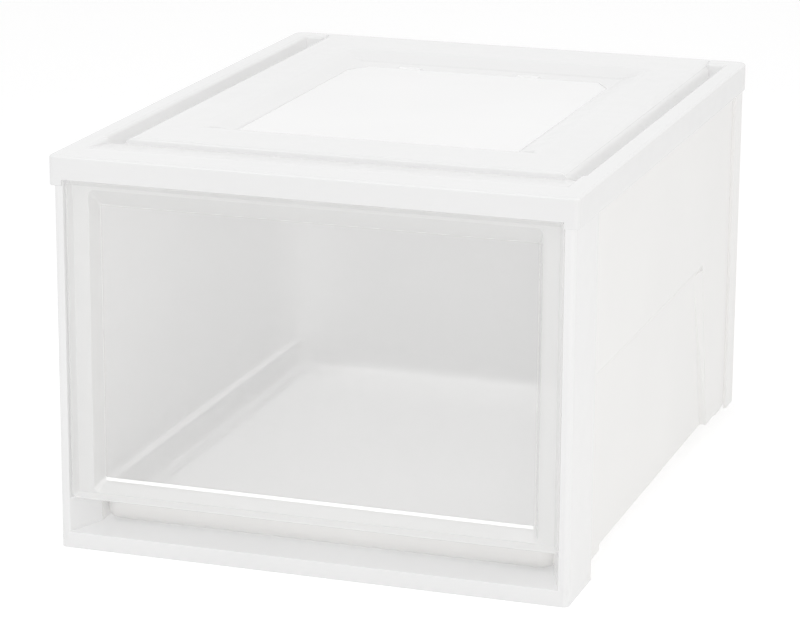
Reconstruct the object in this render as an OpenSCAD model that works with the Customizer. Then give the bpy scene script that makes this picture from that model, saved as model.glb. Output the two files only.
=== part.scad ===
// Stackable drawer box: a white case that snaps together and a translucent drawer.
// Millimetres, +Z up. The origin is the middle of the footprint on the floor.
// The drawer opens towards -Y, and depths are measured back from the cap's front face.

/* [Case] */
// Overall width, over the cap
case_w = 392; // [350:1:460]
// Overall depth, over the cap
case_d = 510; // [460:1:600]
// Overall height
case_h = 295; // [250:1:400]
// Wall thickness of the case panels
wall_t = 2.5; // [2.1:0.1:2.9]
// Step in from the cap to the side walls at the front
side_inset = 2.8; // [2.6:0.1:4]
// Extra step in that the side walls gain towards the rear
side_taper = 1.8; // [0.5:0.1:2.4]
// Step in from the cap to the front frame and to the back panel
end_inset = 2.5; // [2.5:0.1:4]

/* [Cap] */
// Wall thickness of the cap
cap_t = 2.2; // [1.8:0.1:2.2]
// Height of the cap skirt at the sides and the rear
skirt_h = 22; // [19:0.5:40]
// Height of the cap fascia over the drawer opening
fascia_h = 17.5; // [17:0.5:30]
// Plan radius of the cap's front corners
cap_front_r = 4; // [3:0.5:6]
// Plan radius of the cap's rear corners
cap_rear_r = 9; // [5:0.5:12]
// Width of the stacking slots
slot_w = 13; // [8:0.5:15]
// Depth of the stacking slots
slot_depth = 13; // [6:0.5:14]
// Distance from the cap's side to the slots
slot_inset = 15; // [12:0.5:20]
// Distance from the front face to the slots
slot_front = 70; // [66:1:90]
// Distance from the rear face to the slots
slot_rear = 18; // [14:1:60]
// Width of the claws that snap the cap to the side panels
claw_w = 16; // [8:1:30]
// Distance from the front face to the first claw
claw_front = 110; // [90:1:160]
// Distance between claws
claw_pitch = 135; // [80:1:180]
// Depth of the dip across the front of the top
dip_depth = 5; // [3:0.5:6]
// Distance from the front face to the dip
dip_front = 30; // [20:1:45]
// Distance from the cap's side to the ends of the dip
dip_inset = 17.5; // [10:0.5:30]

/* [Top window] */
// Width of the sunken field in the top
field_w = 256; // [200:1:280]
// Distance from the front face to the sunken field
field_front = 126; // [100:1:180]
// Distance from the rear face to the sunken field
field_rear = 60; // [40:1:120]
// Depth of the sunken field
field_depth = 5.5; // [5:0.5:9]
// Width of the field's sloped edges
field_slope = 18.5; // [10:0.5:30]
// Flat ledge between the sloped edges and the window panel
window_ledge = 0.5; // [0.5:0.5:8]
// Flat ledge behind the window panel
window_rear = 20; // [10:1:30]
// Width of the slanted cut at the window's rear corners
window_cut_w = 12; // [4:1:20]
// Length of that cut along the sides
window_cut_d = 20; // [4:1:30]
// Thickness of the window panel
window_t = 2; // [1.5:0.1:2.5]
// How far the window panel laps its opening
window_lap = 5; // [3:0.5:8]
// Width of each window tab
tab_w = 18; // [12:1:30]
// Distance from the middle of the panel to its left tab
tab_left = 62; // [30:1:70]
// Distance from the middle of the panel to its right tab
tab_right = 38; // [30:1:70]

/* [Front frame] */
// Width of the stiles beside the drawer
stile_w = 7.3; // [6.5:0.1:12]
// Height of the bottom rail
rail_h = 12; // [10:0.5:20]
// Depth of the front frame and its feet
pillar_d = 63; // [50:1:75]
// Outer radius of the frame's upright corners
corner_r = 4; // [2.5:0.5:4.5]
// Depth of the finger recess under the drawer front
recess_d = 34; // [26:1:42]

/* [Side panels] */
// Height of the side wall's bottom edge
side_foot = 11; // [8:0.5:20]
// Height of its first stretch, just behind the front foot
side_step = 6; // [3:0.5:7]
// Length of that stretch
step_d = 46; // [10:1:60]
// Height at which the sunken lower field begins
sink_top = 148; // [110:1:190]
// Sinking of the lower field at its top
sink_min = 2.5; // [1.5:0.1:3]
// Sinking of the lower field at the floor
sink_max = 5.5; // [3.5:0.1:6]
// Distance from the rear face to the upper rear corner of the lower field
sink_rear = 120; // [80:1:160]
// How far the rear end of the lower field leans back towards the floor
sink_lean = 29; // [0:1:40]
// Length of the slope that ends the lower field, at its top
ramp_top = 20; // [6:1:30]
// Length of that slope at the floor
ramp_low = 2; // [1:0.5:6]
// Height of the drawer runners
runner_h = 38; // [30:1:50]
// Distance from the cap's side to the inner edge of the runners
runner_inset = 22; // [20:0.5:24]

/* [Back panel] */
// Depth of the corner posts
post_d = 32; // [18:1:40]
// Step in from the cap to the corner posts
post_inset = 1.4; // [1:0.1:1.6]
// Height of the corner posts' bottom edge
post_foot = 8; // [4:0.5:14]
// Outer radius of the corner posts
post_r = 8; // [4:0.5:9]
// Width of the rear feet
foot_w = 34; // [20:1:60]
// Depth of the rear feet
foot_d = 26; // [15:1:40]

/* [Drawer] */
// Wall thickness of the tray
tray_t = 2.2; // [1.8:0.1:2.8]
// Distance from the rear face to the rear of the tray
tray_rear = 52; // [40:1:90]
// Drop from the top of the drawer opening to the tray's rim
rim_drop = 15.5; // [12:0.5:40]
// Width of the tray's rim flange
rim_w = 3.4; // [2.4:0.2:3.6]
// Length of the tray's rear ears, which meet the stops
ear_d = 10; // [6:1:20]
// Gap between the drawer front and its opening
front_gap = 1; // [0.8:0.1:2]
// Distance from the frame's face back to the drawer front's rim
front_set = 2.5; // [1:0.5:4]
// Wall thickness of the drawer front
front_t = 2.4; // [2:0.1:3]
// Width of the rim round the drawer front
front_rim = 0.8; // [0.6:0.1:1.2]
// Width of the slope from the rim down to the flange
dish_w = 3.4; // [2:0.1:3.6]
// Depth of the flange behind the rim
dish_depth = 3.5; // [2:0.5:4.5]
// Width of the flange at the sides of the drawer front, with its rim
flange_w = 16; // [14:0.5:24]
// Height of the flange along the top of the drawer front, with its rim
flange_top = 6.5; // [5:0.5:12]
// Height of the flange along the bottom of the drawer front, with its rim
flange_low = 5; // [5:0.5:12]
// Width of the bevel at the sides of the pane
bevel_side = 5; // [3:0.5:12]
// Height of the bevel above the pane
bevel_top = 12.5; // [6:0.5:16]
// Height of the bevel below the pane
bevel_low = 9; // [6:0.5:16]
// Depth of the pane behind the flange
pane_depth = 10; // [6:0.5:10]
// Corner radius of the drawer front
front_r = 4; // [3:0.5:6]
// Distance from the front face to the drawer stops
stop_front = 78; // [70:1:140]

/* [Fits] */
// Gap between neighbouring pieces of the case
seam = 0.3; // [0.2:0.1:0.4]
// Running gap between the drawer and its runners
run_gap = 0.5; // [0.4:0.1:0.8]

/* [Hidden] */
$fn = 48;

// Overlap that joins two solids of one piece, and the run of a cutter past a face
bite = 1;
// Thickness of the sections that a hull spans
skin = 0.01;
// Small step that keeps the faces of joined solids out of one plane
nick = 0.25;

cap_half = case_w / 2;
cap_under = case_h - cap_t - seam;
skirt_z = case_h - skirt_h;
opening_top = case_h - fascia_h;

wall_half = cap_half - side_inset;
wall_half_rear = wall_half - side_taper;
face_y = end_inset;
back_y = case_d - end_inset;
opening_half = wall_half - stile_w;
stile_d = 15;

slot_out = cap_half - slot_inset;
slot_in = slot_out - slot_w;
slot_end = case_d - slot_rear;
slot_floor = case_h - slot_depth;
dip_half = cap_half - dip_inset;
dip_end = slot_front + cap_t;
claw_depths = [claw_front : claw_pitch : case_d - claw_front];
claw_z = skirt_z + 2;
claw_h = 5;
claw_in = 1.3;

field_half = field_w / 2;
field_end = case_d - field_rear;
field_z = case_h - field_depth;
window_half = field_half - field_slope - window_ledge;
window_front = field_front + field_slope + window_ledge;
window_end = field_end - field_slope - window_rear;
seat_z = field_z - window_t;
tabs = [-tab_left, tab_right];
tab_reach = 3;

runner_half = cap_half - runner_inset;
runner_foot = wall_t + 2 * seam;
side_y0 = pillar_d + seam;
side_y1 = back_y - 3 * wall_t;
sink_y1 = case_d - sink_rear;
sink_y2 = sink_y1 + sink_lean;
tongue_d = 12;
tongue_low = sink_top + 15;
tongue_top = skirt_z - 3;

post_half = cap_half - post_inset;
post_y = case_d - post_d;
foot_out = post_half - 10;

rim_h = opening_top - rim_drop;
guide_z = rim_h + 2 * run_gap;
guide_in = wall_half_rear - 10;
step_half = guide_in - run_gap - 1;
rim_half = step_half + rim_w;
tray_half = runner_half - 2 * run_gap;
tray_floor = rail_h + 2 * run_gap + 1;
tray_end = case_d - tray_rear;
shelf_z = runner_h + run_gap;

front_y = face_y + front_set;
front_half = opening_half - front_gap;
front_low = runner_h;
front_top = opening_top - front_gap;
flange_y = front_y + dish_depth;
pane_y = flange_y + pane_depth;
pane_half = front_half - flange_w - bevel_side;
pane_low = front_low + flange_low + bevel_low;
pane_top = front_top - flange_top - bevel_top;
front_edge_d = 10;
tray_y = pane_y + front_t + seam;

ear_h = 20;
ear_half = rim_half - 0.2;
stop_h = 8;
stop_t = 4;

// Moves a child from depths behind the front face to the part's frame
module from_front() translate([0, -case_d / 2, 0]) children();

// A box from its lowest to its highest corner
module span(lo, hi) translate(lo) cube(hi - lo);

// A profile in X and Z, run along Y
module along_y(y0, y1) translate([0, y1, 0]) rotate([90, 0, 0]) linear_extrude(y1 - y0) children();

// A profile in Y and Z, run along X
module along_x(x0, x1) translate([x0, 0, 0]) rotate([90, 0, 90]) linear_extrude(x1 - x0) children();

// A child and its mirror image
module both_sides() {
    children();
    mirror([1, 0, 0]) children();
}

// A rectangle with one radius at its near corners and another at its far corners
module plate(lo, hi, near_r, far_r) {
    translate([lo[0] + near_r, lo[1]]) square([hi[0] - lo[0] - 2 * near_r, near_r + bite]);
    translate([lo[0], lo[1] + near_r]) square([hi[0] - lo[0], hi[1] - lo[1] - near_r - far_r]);
    translate([lo[0] + far_r, hi[1] - far_r - bite]) square([hi[0] - lo[0] - 2 * far_r, far_r + bite]);
    for (x = [lo[0] + near_r, hi[0] - near_r]) translate([x, lo[1] + near_r]) circle(near_r);
    for (x = [lo[0] + far_r, hi[0] - far_r]) translate([x, hi[1] - far_r]) circle(far_r);
}

// A tapering tray shape between two rectangles at heights z0 and z1
module taper(lo0, hi0, z0, lo1, hi1, z1) {
    hull() {
        span([lo0[0], lo0[1], z0], [hi0[0], hi0[1], z0 + skin]);
        span([lo1[0], lo1[1], z1 - skin], [hi1[0], hi1[1], z1]);
    }
}

// ---- Front frame ----

// Plan of a stile, its inner return and the side of the front foot
module stile_plan() {
    difference() {
        plate([-wall_half, face_y], [wall_half, pillar_d + corner_r], corner_r, corner_r);
        translate([-wall_half - bite, 0]) square([wall_half + bite + opening_half, pillar_d + 2 * corner_r]);
        translate([0, pillar_d]) square([wall_half + bite, 2 * corner_r]);
        translate([opening_half + wall_t, face_y + wall_t]) square([stile_w - 2 * wall_t, pillar_d]);
        translate([0, stile_d]) square([wall_half - wall_t, pillar_d]);
    }
}

// Plan of the slanted cheek that leads from a stile in to the runner
module cheek_plan() {
    polygon([
        [opening_half, face_y], [opening_half + bite, face_y],
        [opening_half + wall_t, stile_d], [runner_half + wall_t, recess_d],
        [runner_half, recess_d]]);
}

// Stiles, bottom rail with the floor of the finger recess, lintel and front feet
module front_frame() {
    rail_ribs = 5;
    rib_pitch = 2 * runner_half / (rail_ribs + 1);
    color("whitesmoke") from_front() {
        both_sides() {
            linear_extrude(cap_under) stile_plan();
            linear_extrude(runner_h - run_gap) cheek_plan();
        }
        span([-opening_half - bite, face_y, 0], [opening_half + bite, face_y + wall_t, rail_h]);
        span([-wall_half + bite, face_y + bite, rail_h - wall_t], [wall_half - bite, pillar_d, rail_h]);
        span([-wall_half + bite, pillar_d - wall_t, runner_foot], [wall_half - bite, pillar_d, rail_h]);
        span([-opening_half - bite, face_y, opening_top], [opening_half + bite, face_y + wall_t, cap_under]);
        for (i = [1 : rail_ribs]) {
            x = i * rib_pitch - runner_half;
            span([x - wall_t / 2, face_y + bite, runner_foot], [x + wall_t / 2, pillar_d - bite, rail_h - bite]);
        }
    }
}

// ---- Side panels ----

// Half width of the case over the side walls at a depth
function wall_x(y) = wall_half - side_taper * (y - face_y) / (back_y - face_y);

// Outer face of the sunken lower field at a height
sink_x_top = wall_x(sink_y1) - sink_min;
function sink_x(z) = sink_x_top - (sink_max - sink_min) * (sink_top - z) / sink_top;

// Plan of the leaning side wall between two depths
module wall_plan(y0, y1) {
    polygon([
        [wall_x(y0), y0], [wall_x(y1), y1],
        [wall_x(y1) - wall_t, y1], [wall_x(y0) - wall_t, y0]]);
}

// Section of the sunken lower field, with the slope that leads up to the full wall
module sink_section(z0) {
    rise = 2 * sink_min;
    polygon([
        [sink_x(z0) - wall_t, z0], [sink_x(z0), z0], [sink_x_top, sink_top],
        [sink_x_top + sink_min, sink_top + rise], [sink_x_top + sink_min, sink_top + rise + bite],
        [sink_x_top + sink_min - wall_t, sink_top + rise + bite], [sink_x_top - wall_t, sink_top]]);
}

// Section of its tongue, which slips behind the front frame
module sink_tongue_section() {
    polygon([
        [sink_x(runner_h) - wall_t, runner_h - wall_t], [sink_x(runner_h), runner_h - wall_t],
        [sink_x_top, sink_top], [sink_x_top - wall_t, sink_top]]);
}

// Depths at which the slope that ends the lower field meets the full wall and the field
function sink_drop(z) = (sink_top - z) / (sink_top - side_foot);
function ramp_y1(z) = sink_y1 + sink_lean * sink_drop(z);
function ramp_y0(z) = ramp_y1(z) - ramp_top + (ramp_top - ramp_low) * sink_drop(z);

// Plan of that slope at a height
module ramp_plan(z) {
    out = wall_x(ramp_y1(z));
    polygon([
        [sink_x(z) - wall_t / 2, ramp_y0(z)], [sink_x(z) - nick, ramp_y0(z)],
        [out - nick, ramp_y1(z) + bite / 2], [out - wall_t + nick, ramp_y1(z) + wall_t],
        [sink_x(z) - wall_t / 2, ramp_y0(z) + wall_t]]);
}

// The slope that closes the rear end of the lower field
module sink_ramp() {
    hull() {
        translate([0, 0, side_foot + nick]) linear_extrude(skin) ramp_plan(side_foot);
        translate([0, 0, sink_top - nick]) linear_extrude(skin) ramp_plan(sink_top);
    }
}

// The lower field up to its slope, and the full wall from there on
module sink_walls() {
    upper_z = sink_top + 2 * sink_min;
    cut_x = sink_x(side_foot) - 2 * wall_t;
    difference() {
        along_y(side_y0 + step_d, sink_y1 + sink_lean) sink_section(side_foot);
        along_x(cut_x, wall_half + bite)
            polygon([
                [ramp_y0(side_foot) + bite, side_foot - bite], [back_y, side_foot - bite],
                [back_y, sink_top - bite], [ramp_y0(sink_top) + bite, sink_top - bite]]);
        span([cut_x, sink_y1 + bite, sink_top - 2 * bite], [wall_half + bite, back_y, upper_z + 2 * bite]);
    }
    difference() {
        translate([0, 0, side_foot]) linear_extrude(upper_z - side_foot + bite) wall_plan(sink_y1, side_y1);
        along_x(cut_x, wall_half + bite)
            polygon([
                [sink_y1 - bite, side_foot - bite], [sink_y2, side_foot - bite],
                [sink_y1, sink_top], [sink_y1 - bite, sink_top]]);
    }
}

// Right-hand side wall with its runner, stop and guide
module side_wall_solid() {
    upper_z = sink_top + 2 * sink_min;
    inner_low = sink_x(runner_h) - wall_t + bite;
    inner_rear = wall_x(side_y1) - wall_t + bite / 2;
    translate([0, 0, upper_z]) linear_extrude(cap_under - upper_z) wall_plan(side_y0, side_y1);
    along_y(pillar_d - tongue_d, side_y0 + bite) sink_tongue_section();
    along_y(side_y0, side_y0 + step_d) sink_section(side_step);
    sink_walls();
    sink_ramp();
    // tongue that slips behind the front frame
    span([wall_x(side_y0) - 2 * wall_t - seam, pillar_d - tongue_d, tongue_low],
         [wall_x(side_y0) - wall_t - seam, side_y0 + wall_t, tongue_top]);
    span([wall_x(side_y0) - 2 * wall_t, side_y0, tongue_low],
         [wall_x(side_y0) - wall_t + bite, side_y0 + wall_t, tongue_top]);
    // runner: its ledge, its lip in the two stretches before and behind the rail, and its stop
    span([runner_half, recess_d + seam, runner_h - wall_t], [inner_low, sink_y2 + bite, runner_h]);
    span([runner_half, sink_y2, runner_h - wall_t], [inner_rear, side_y1, runner_h]);
    span([runner_half, recess_d + seam, rail_h + seam], [runner_half + wall_t, side_y0, runner_h]);
    span([runner_half, side_y0, runner_foot], [runner_half + wall_t, side_y1, runner_h]);
    span([step_half + 2, stop_front - stop_t - seam, runner_h - bite],
         [inner_low, stop_front - seam, runner_h + stop_h]);
    // guide over the tray's rim
    span([guide_in, side_y0, guide_z], [inner_rear, side_y1, guide_z + wall_t]);
}

// The side wall with the windows that the cap's claws snap into
module side_wall() {
    difference() {
        side_wall_solid();
        for (y = claw_depths)
            span([wall_half_rear - 2 * wall_t, y - claw_w / 2 - 2 * seam, claw_z - 2 * seam],
                 [wall_half + bite, y + claw_w / 2 + 2 * seam, claw_z + claw_h + 2 * seam]);
    }
}

module side_panel_right() color("white") from_front() side_wall();

module side_panel_left() color("white") from_front() mirror([1, 0, 0]) side_wall();

// ---- Back panel ----

// Plan of a corner post, which laps the side panel's rear edge
module post_plan() {
    lap_x = wall_x(post_y) + seam;
    difference() {
        plate([-post_half, post_y - post_r], [post_half, back_y], bite, post_r);
        translate([-post_half - bite, 0]) square([post_half + bite + lap_x - wall_t - bite, case_d]);
        translate([0, 0]) square([post_half + bite, post_y]);
        translate([0, 0]) square([lap_x, side_y1 + seam]);
    }
}

// Plan of the back wall and its corner blocks where they stand inside the cap's skirt
module back_top_plan() {
    block_x = wall_half_rear - wall_t - 2 * bite;
    back_r = cap_rear_r - cap_t - 2 * bite;
    difference() {
        plate([-wall_half_rear + bite, side_y1 + seam], [wall_half_rear - bite, back_y], bite, back_r);
        translate([-block_x, side_y1]) square([2 * block_x, back_y - wall_t - side_y1]);
    }
}

// Back wall, corner posts and rear feet
module back_panel() {
    edge_x = wall_half_rear - wall_t - bite;
    color("white") from_front() {
        span([-edge_x, back_y - wall_t, post_foot], [edge_x, back_y, skirt_z - seam]);
        translate([0, 0, skirt_z - bite - seam]) linear_extrude(cap_under - skirt_z + bite + seam) back_top_plan();
        both_sides() {
            translate([0, 0, post_foot]) linear_extrude(skirt_z - seam - post_foot) post_plan();
            span([foot_out - foot_w, back_y - foot_d, 0], [foot_out, back_y - bite, wall_t]);
            for (x = [foot_out - foot_w, foot_out - wall_t])
                span([x, back_y - foot_d, 0], [x + wall_t, back_y - bite, runner_foot + post_foot]);
            span([foot_out - foot_w, back_y - wall_t, 0], [foot_out, back_y - bite, post_foot + bite]);
        }
    }
}

// ---- Top ----

// Plan of the cap, shrunk by an inset
module cap_plan(inset) {
    plate([-cap_half + inset, inset], [cap_half - inset, case_d - inset],
          max(cap_front_r - inset, 0.5), max(cap_rear_r - inset, 0.5));
}

// The dip across the front of the top, lowered by a drop
module dip_section(drop) {
    polygon([
        [dip_front - drop, case_h - drop + bite], [dip_front - drop, case_h - drop],
        [dip_end + drop, case_h - dip_depth - drop], [dip_end + drop, case_h - drop + bite]]);
}

// The sunken field, grown by a thickness
module field_space(grow) {
    taper([-field_half + field_slope - grow, field_front + field_slope - grow],
          [field_half - field_slope + grow, field_end - field_slope + grow], field_z - grow,
          [-field_half - grow, field_front - grow], [field_half + grow, field_end + grow], case_h);
}

// Plan of the window, with slanted rear corners, grown by an amount
module window_plan(grow) {
    half = window_half + grow;
    y0 = window_front - grow;
    y1 = window_end + grow;
    polygon([
        [-half, y0], [half, y0], [half, y1 - window_cut_d], [half - window_cut_w, y1],
        [-half + window_cut_w, y1], [-half, y1 - window_cut_d]]);
}

// Skirt, fascia and flat plate
module cap_shell() {
    difference() {
        translate([0, 0, skirt_z]) linear_extrude(skirt_h) cap_plan(0);
        translate([0, 0, skirt_z - bite]) linear_extrude(skirt_h + bite - cap_t) cap_plan(cap_t);
        span([-opening_half, -bite, skirt_z - bite], [opening_half, cap_t + bite, opening_top]);
    }
}

// Walls and floors of the slots, the dip, the field and the window seat
module cap_wells() {
    both_sides() span([slot_in - cap_t, slot_front - cap_t, slot_floor - cap_t],
                      [slot_out + cap_t, slot_end + cap_t, case_h - bite]);
    along_x(-dip_half - cap_t, dip_half + cap_t) dip_section(cap_t);
    field_space(cap_t);
    translate([0, 0, seat_z - cap_t]) linear_extrude(window_t + cap_t - bite / 2) window_plan(cap_t);
}

// The space that is open above the top: slots, dip, field, window opening and tab notches
module cap_cuts() {
    both_sides() span([slot_in, slot_front, slot_floor], [slot_out, slot_end, case_h + bite]);
    along_x(-dip_half, dip_half) dip_section(0);
    field_space(0);
    span([-field_half, field_front, case_h - bite / 2], [field_half, field_end, case_h + bite]);
    translate([0, 0, seat_z]) linear_extrude(field_depth + window_t) window_plan(0);
    translate([0, 0, seat_z - 2 * cap_t]) linear_extrude(field_depth + 2 * cap_t) window_plan(-window_lap);
    for (x = tabs)
        span([x - tab_w / 2 - seam, window_end - bite, seat_z],
             [x + tab_w / 2 + seam, window_end + tab_reach, case_h]);
}

// Clip-on top, with the claws that hold it to the side panels
module top_cap() {
    color("white") from_front() {
        difference() {
            union() {
                cap_shell();
                cap_wells();
            }
            cap_cuts();
        }
        both_sides() for (y = claw_depths)
            span([wall_x(y) - claw_in, y - claw_w / 2, claw_z], [cap_half - bite, y + claw_w / 2, claw_z + claw_h]);
    }
}

// Window panel with its two rear tabs and its stiffening rim
module top_window() {
    rim_low = seat_z - cap_t;
    color("snow") from_front() {
        translate([0, 0, seat_z]) linear_extrude(window_t) window_plan(-seam);
        translate([0, 0, rim_low]) linear_extrude(cap_t + bite) difference() {
            window_plan(-window_lap - seam);
            window_plan(-window_lap - seam - window_t);
        }
        for (x = tabs)
            span([x - tab_w / 2, window_end - seam - bite, seat_z],
                 [x + tab_w / 2, window_end + tab_reach - seam, field_z + window_t / 2]);
    }
}

// ---- Drawer ----

// Section of the tray's side, from the floor over the running step to the rim
module tray_side_section() {
    polygon([
        [0, tray_floor], [tray_half, tray_floor], [tray_half, shelf_z], [step_half, shelf_z],
        [step_half, rim_h - tray_t], [rim_half, rim_h - tray_t], [rim_half, rim_h],
        [step_half - tray_t, rim_h], [step_half - tray_t, shelf_z + tray_t],
        [tray_half - tray_t, shelf_z + tray_t], [tray_half - tray_t, tray_floor + tray_t],
        [0, tray_floor + tray_t]]);
}

// Tray: floor, stepped sides that ride the runners, rear wall, front riser and its shelf
module drawer_tray() {
    color("gainsboro") from_front() {
        both_sides() {
            along_y(recess_d + run_gap, tray_end) tray_side_section();
            // side walls and running step in front of the riser
            span([step_half - tray_t, tray_y, shelf_z], [step_half, recess_d + bite, rim_h]);
            span([step_half - bite, tray_y, rim_h - tray_t], [rim_half, recess_d + bite, rim_h]);
            // ears that meet the stops
            span([step_half - bite, tray_end - ear_d, shelf_z], [ear_half, tray_end, shelf_z + ear_h]);
        }
        span([-tray_half, recess_d + run_gap, tray_floor], [tray_half, recess_d + run_gap + tray_t, shelf_z + tray_t]);
        span([-step_half, tray_y, shelf_z], [step_half, recess_d + run_gap + tray_t, shelf_z + tray_t]);
        span([-step_half, tray_end - tray_t, shelf_z], [step_half, tray_end, rim_h]);
        span([-tray_half, tray_end - tray_t, tray_floor], [tray_half, tray_end, shelf_z + bite]);
        span([-rim_half, tray_end - bite, rim_h - tray_t], [rim_half, tray_end + rim_w, rim_h]);
    }
}

// Outline of the drawer front, shrunk by an inset
module front_plan(inset) {
    r = max(front_r - inset, 1);
    plate([-front_half + inset, front_low + inset], [front_half - inset, front_top - inset], r, r);
}

// The shallow dish inside the rim, down to the flange
module dish_space() {
    hull() {
        along_y(front_y, front_y + skin) front_plan(front_rim);
        along_y(flange_y - skin, flange_y) front_plan(front_rim + dish_w);
    }
    along_y(front_y - bite, front_y + skin) front_plan(front_rim);
}

// The hollow in front of the pane, a shape that narrows from the flange to the pane
module pane_space(grow) {
    wide = front_half - flange_w + grow;
    low = front_low + flange_low - grow;
    top = front_top - flange_top + grow;
    // drawn lying down, then stood up with its wide face forwards
    translate([0, pane_y + grow, 0]) rotate([90, 0, 0])
        taper([-pane_half - grow, pane_low - grow], [pane_half + grow, pane_top + grow], 0,
              [-wide, low], [wide, top], pane_y + grow - flange_y);
}

// Drawer front: rim, flange, bevelled hollow, clear pane, edge returns and the finger lip
module drawer_front() {
    wide = front_half - flange_w;
    mouth = [front_low + flange_low, front_top - flange_top];
    color("aliceblue") from_front() difference() {
        union() {
            difference() {
                along_y(front_y, front_y + front_edge_d) front_plan(0);
                along_y(flange_y + front_t, front_y + front_edge_d + bite) front_plan(front_t);
            }
            pane_space(front_t);
            span([-front_half + front_r, front_y, front_low],
                 [front_half - front_r, pane_y + front_t, front_low + front_t]);
        }
        dish_space();
        pane_space(0);
        span([-wide, flange_y - bite, mouth[0]], [wide, flange_y + 2 * skin, mouth[1]]);
    }
}

front_frame();
side_panel_left();
side_panel_right();
back_panel();
top_cap();
top_window();
drawer_tray();
drawer_front();
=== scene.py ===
"""Looks of the stackable drawer box: finishes, detailed mouldings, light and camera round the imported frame.

Sizes are in millimetres. A depth is measured back from the cap's front face, as in the part's own source.
"""

import logging
import math
from dataclasses import dataclass, replace
from enum import Enum
from typing import Iterable, Sequence

import bmesh
import bpy
from mathutils import Matrix, Vector


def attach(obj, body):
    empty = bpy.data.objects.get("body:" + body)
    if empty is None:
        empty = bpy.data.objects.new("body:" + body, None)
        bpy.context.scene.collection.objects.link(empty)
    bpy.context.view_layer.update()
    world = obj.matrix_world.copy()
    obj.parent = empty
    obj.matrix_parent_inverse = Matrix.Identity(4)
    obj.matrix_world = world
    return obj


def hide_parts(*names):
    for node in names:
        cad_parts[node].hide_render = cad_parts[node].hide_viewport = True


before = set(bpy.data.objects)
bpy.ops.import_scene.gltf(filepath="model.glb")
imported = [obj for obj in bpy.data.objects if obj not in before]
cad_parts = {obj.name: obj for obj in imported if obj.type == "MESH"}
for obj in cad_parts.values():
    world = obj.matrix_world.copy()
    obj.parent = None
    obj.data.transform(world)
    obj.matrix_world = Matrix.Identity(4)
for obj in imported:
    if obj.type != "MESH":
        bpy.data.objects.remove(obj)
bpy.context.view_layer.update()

LOG = logging.getLogger("drawer_box")
MM = 0.001
CASE_D = 510.0
SHARP = math.radians(40)
PLASTIC_IOR = 1.49
COAT_ROUGHNESS = 0.08
CLOUDS_PER_METRE = 9.0
WEAR_PER_METRE = 45.0
WEAR_RANGE = (0.3, 0.7)
GRAIN_STRENGTH = 0.25

Point = tuple[float, float]
Colour = tuple[float, float, float]


class Body(Enum):
    """The moving bodies that a piece can ride on."""

    CASE = "case"
    DRAWER = "drawer"


class Lie(Enum):
    """How a drawn outline lies in the object."""

    FLAT = "flat"
    UPRIGHT = "upright"

    def place(self, u: float, v: float, level: float) -> Vector:
        """Turns an outline's point into a point of the object, in metres.

        Args:
            u: Place across the object.
            v: Depth if the outline lies flat, height if it stands upright.
            level: Height if the outline lies flat, depth if it stands upright.

        Returns:
            The point in the row frame.
        """
        if self is Lie.FLAT:
            return Vector((u, v - CASE_D / 2, level)) * MM
        return Vector((u, level - CASE_D / 2, v)) * MM


# ---- Finishes ----


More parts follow.
